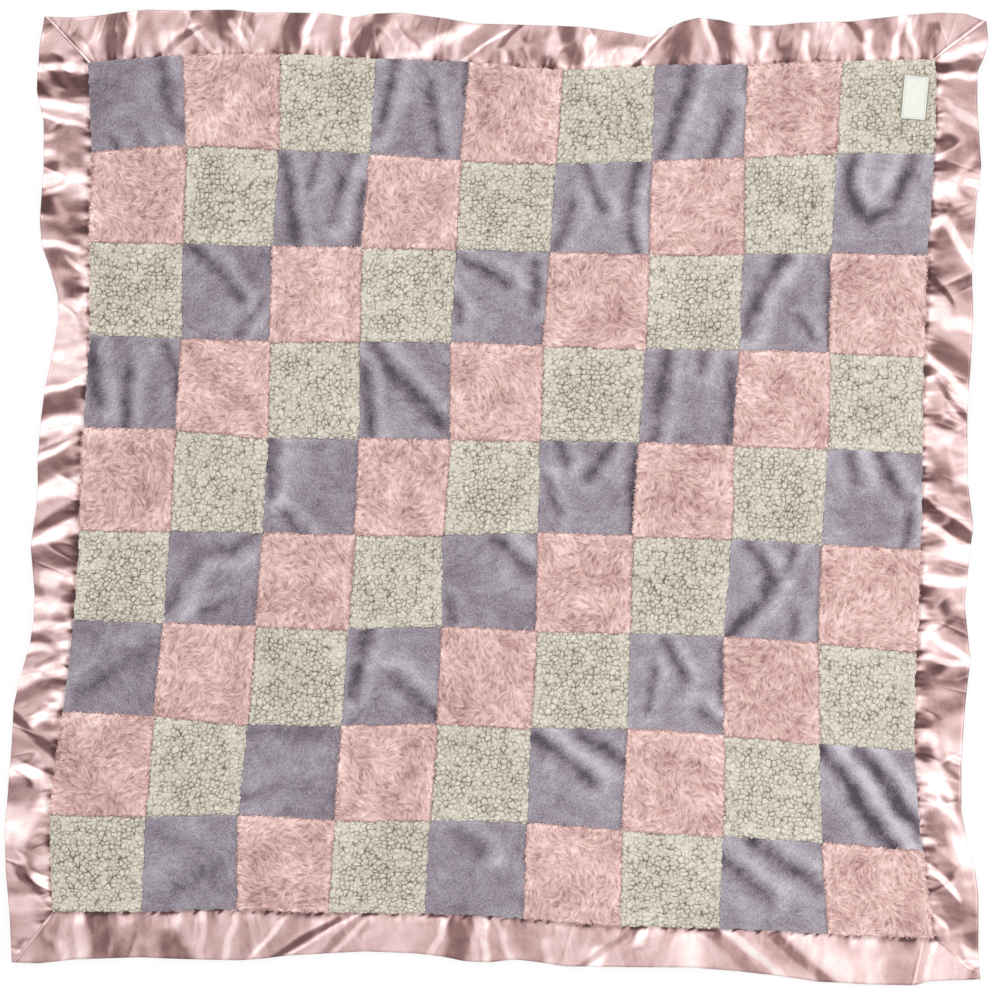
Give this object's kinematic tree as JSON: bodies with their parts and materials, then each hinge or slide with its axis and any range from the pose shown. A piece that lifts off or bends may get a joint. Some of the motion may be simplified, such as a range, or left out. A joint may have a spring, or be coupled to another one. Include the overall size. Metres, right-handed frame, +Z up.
{
  "type": "patchwork comfort blanket",
  "caption": "Square patchwork comfort blanket of plush, velour and sherpa patches with a ruffled satin border, lying flat.",
  "frame": {"origin": "middle of the blanket's box, on the surface that it lies on", "axes": "+Z up out of the patchwork face, +Y towards the top edge with the label at its right end, +X to the right"},
  "size_m": [0.7848, 0.78, 0.0094],
  "materials": {
    "purple_velour": "smooth short pile with a soft sheen",
    "pink_plush": "long soft swirled pile",
    "cream_sherpa": "nubby curled pile",
    "satin": "glossy creased satin",
    "backing": "plain short pile",
    "label": "flat woven tape"
  },
  "bodies": {
    "centre": {"backing_middle": "backing", "cream_sherpa_patches_lower_1": "cream_sherpa", "cream_sherpa_patches_lower_2": "cream_sherpa", "cream_sherpa_patches_lower_3": "cream_sherpa", "cream_sherpa_patches_lower_4": "cream_sherpa", "cream_sherpa_patches_upper_1": "cream_sherpa", "cream_sherpa_patches_upper_2": "cream_sherpa", "cream_sherpa_patches_upper_3": "cream_sherpa", "cream_sherpa_patches_upper_4": "cream_sherpa", "pink_plush_patches_lower_1": "pink_plush", "pink_plush_patches_lower_2": "pink_plush", "pink_plush_patches_lower_3": "pink_plush", "pink_plush_patches_upper_1": "pink_plush", "pink_plush_patches_upper_2": "pink_plush", "pink_plush_patches_upper_3": "pink_plush", "purple_velour_patches_lower_1": "purple_velour", "purple_velour_patches_lower_2": "purple_velour", "purple_velour_patches_lower_3": "purple_velour", "purple_velour_patches_upper_1": "purple_velour", "purple_velour_patches_upper_2": "purple_velour", "purple_velour_patches_upper_3": "purple_velour", "purple_velour_patches_upper_4": "purple_velour", "satin_border_left_middle": "satin", "satin_border_right_middle": "satin"},
    "top_flap": {"backing_top": "backing", "cream_sherpa_patches_top_1": "cream_sherpa", "cream_sherpa_patches_top_2": "cream_sherpa", "cream_sherpa_patches_top_3": "cream_sherpa", "label": "label", "label_stitching": "label", "pink_plush_patches_top_1": "pink_plush", "pink_plush_patches_top_2": "pink_plush", "pink_plush_patches_top_3": "pink_plush", "purple_velour_patches_top_1": "purple_velour", "purple_velour_patches_top_2": "purple_velour", "purple_velour_patches_top_3": "purple_velour", "purple_velour_patches_top_4": "purple_velour", "satin_border_left_upper": "satin", "satin_border_right_upper": "satin", "satin_border_top": "satin"},
    "bottom_flap": {"backing_bottom": "backing", "cream_sherpa_patches_bottom_1": "cream_sherpa", "cream_sherpa_patches_bottom_2": "cream_sherpa", "cream_sherpa_patches_bottom_3": "cream_sherpa", "pink_plush_patches_bottom_1": "pink_plush", "pink_plush_patches_bottom_2": "pink_plush", "pink_plush_patches_bottom_3": "pink_plush", "pink_plush_patches_bottom_4": "pink_plush", "purple_velour_patches_bottom_1": "purple_velour", "purple_velour_patches_bottom_2": "purple_velour", "purple_velour_patches_bottom_3": "purple_velour", "satin_border_bottom": "satin", "satin_border_closing_piece": "satin", "satin_border_left_lower": "satin", "satin_border_right_lower": "satin"}
  },
  "joints": [
    {"name": "top_fold", "type": "hinge", "parent": "centre", "child": "top_flap", "pos_m": [0.00879, 0.199, 0.0104], "axis": [0.9998, -0.0177, 0], "range_deg": [0, 179]},
    {"name": "bottom_fold", "type": "hinge", "parent": "centre", "child": "bottom_flap", "pos_m": [-0.00641, -0.1868, 0.0104], "axis": [-0.9995, 0.0316, 0], "range_deg": [0, 179]}
  ]
}
